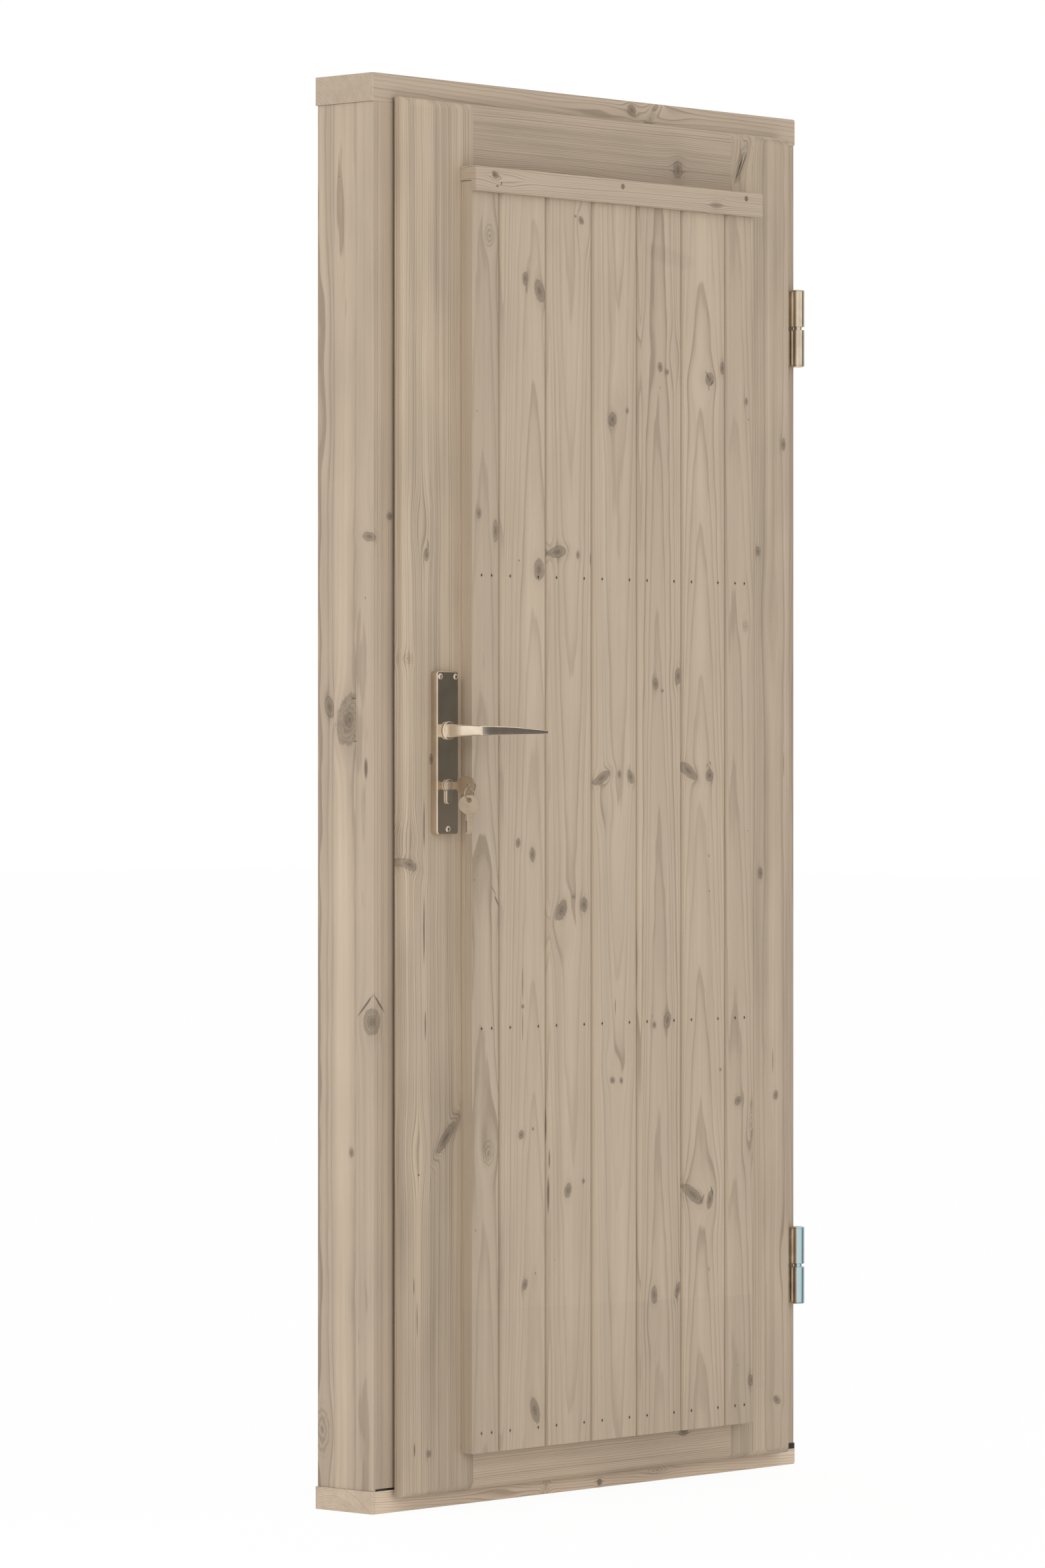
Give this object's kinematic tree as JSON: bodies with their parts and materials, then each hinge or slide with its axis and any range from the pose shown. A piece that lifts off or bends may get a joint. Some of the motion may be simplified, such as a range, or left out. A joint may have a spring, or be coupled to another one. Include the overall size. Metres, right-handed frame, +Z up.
{
  "type": "outside door with frame",
  "caption": "Boarded wooden door that opens outwards in its own frame, with a drip cap, lift-off hinges, lever handles and a keyed mortise lock.",
  "frame": {"origin": "centre of the sill's underside, over the frame's full width and depth", "axes": "+X from the lock side to the hinge side, +Y from the outside to the inside, +Z up"},
  "size_m": [0.8528, 0.204, 1.88],
  "materials": {
    "timber": "knotty softwood, planed, grey-brown glaze",
    "handle_metal": "satin",
    "hinge_steel": "bright zinc",
    "lock_steel": "zinc plated",
    "screw_steel": "zinc plated",
    "key_metal": "nickel plated",
    "seal_rubber": "matte black",
    "packer_plastic": "matte black"
  },
  "bodies": {
    "frame": {"head": "timber", "sill": "timber", "jamb_lock_side": "timber", "jamb_hinge_side": "timber", "frame_screws": "screw_steel", "packer_lock_side": "packer_plastic", "packer_hinge_side": "packer_plastic", "weather_seal": "seal_rubber", "strike_plate": "lock_steel", "strike_screws": "screw_steel", "hinge_frame_halves": "hinge_steel", "hinge_pins": "hinge_steel", "hinge_frame_caps": "hinge_steel", "hinge_frame_screws": "screw_steel"},
    "leaf": {"stile_lock_side": "timber", "stile_hinge_side": "timber", "rail_top": "timber", "rail_upper_middle": "timber", "rail_lower_middle": "timber", "rail_bottom": "timber", "board_1": "timber", "board_2": "timber", "board_3": "timber", "board_4": "timber", "board_5": "timber", "board_6": "timber", "board_7": "timber", "board_nails": "screw_steel", "drip_cap": "timber", "drip_cap_screws": "screw_steel", "hinge_leaf_halves": "hinge_steel", "hinge_leaf_caps": "hinge_steel", "hinge_leaf_screws": "screw_steel", "lock_case": "lock_steel", "lock_cover": "lock_steel", "lock_face_plate": "lock_steel", "lock_face_screws": "screw_steel", "plate_outside": "handle_metal", "plate_inside": "handle_metal", "plate_screws": "screw_steel", "cylinder_housing": "key_metal", "cylinder_screw": "screw_steel", "cylinder_plug_inside": "key_metal"},
    "handle": {"lever_outside": "handle_metal", "lever_inside": "handle_metal", "spindle": "lock_steel", "follower": "lock_steel"},
    "latch": {"latch_bolt": "lock_steel"},
    "deadbolt": {"dead_bolt": "lock_steel"},
    "key": {"cylinder_plug_outside": "key_metal", "cylinder_cam": "lock_steel", "key_in_lock": "key_metal"},
    "ring": {"key_ring": "key_metal"},
    "spare": {"spare_key": "key_metal"}
  },
  "joints": [
    {"name": "leaf_swing", "type": "hinge", "parent": "frame", "child": "leaf", "pos_m": [0.4184, -0.0633, 0.933], "axis": [0, 0, 1], "range_deg": [0, 170]},
    {"name": "lever_turn", "type": "hinge", "parent": "leaf", "child": "handle", "pos_m": [-0.32, -0.088, 1.022], "axis": [0, 1, 0], "range_deg": [0, 38], "stiffness_Nm_per_rad": 1.5, "springref_deg": -20.05},
    {"name": "latch_slide", "type": "slide", "parent": "leaf", "child": "latch", "axis": [-1, 0, 0], "range_m": [0, 0.011]},
    {"name": "key_turn", "type": "hinge", "parent": "leaf", "child": "key", "pos_m": [-0.32, -0.091, 0.95], "axis": [0, 1, 0], "range_deg": [0, 360]},
    {"name": "bolt_slide", "type": "slide", "parent": "leaf", "child": "deadbolt", "axis": [-1, 0, 0], "range_m": [0, 0.02]},
    {"name": "ring_swing", "type": "hinge", "parent": "key", "child": "ring", "pos_m": [-0.32, -0.126, 0.9481], "axis": [1, 0, 0], "range_deg": [-60, 10]},
    {"name": "spare_swing", "type": "hinge", "parent": "ring", "child": "spare", "pos_m": [-0.32, -0.126, 0.9321], "axis": [1, 0, 0], "range_deg": [-45, 10]}
  ],
  "couplings": [
    {"joint": "bolt_slide", "follows": "key_turn", "m_per_rad": 0.00318}
  ]
}
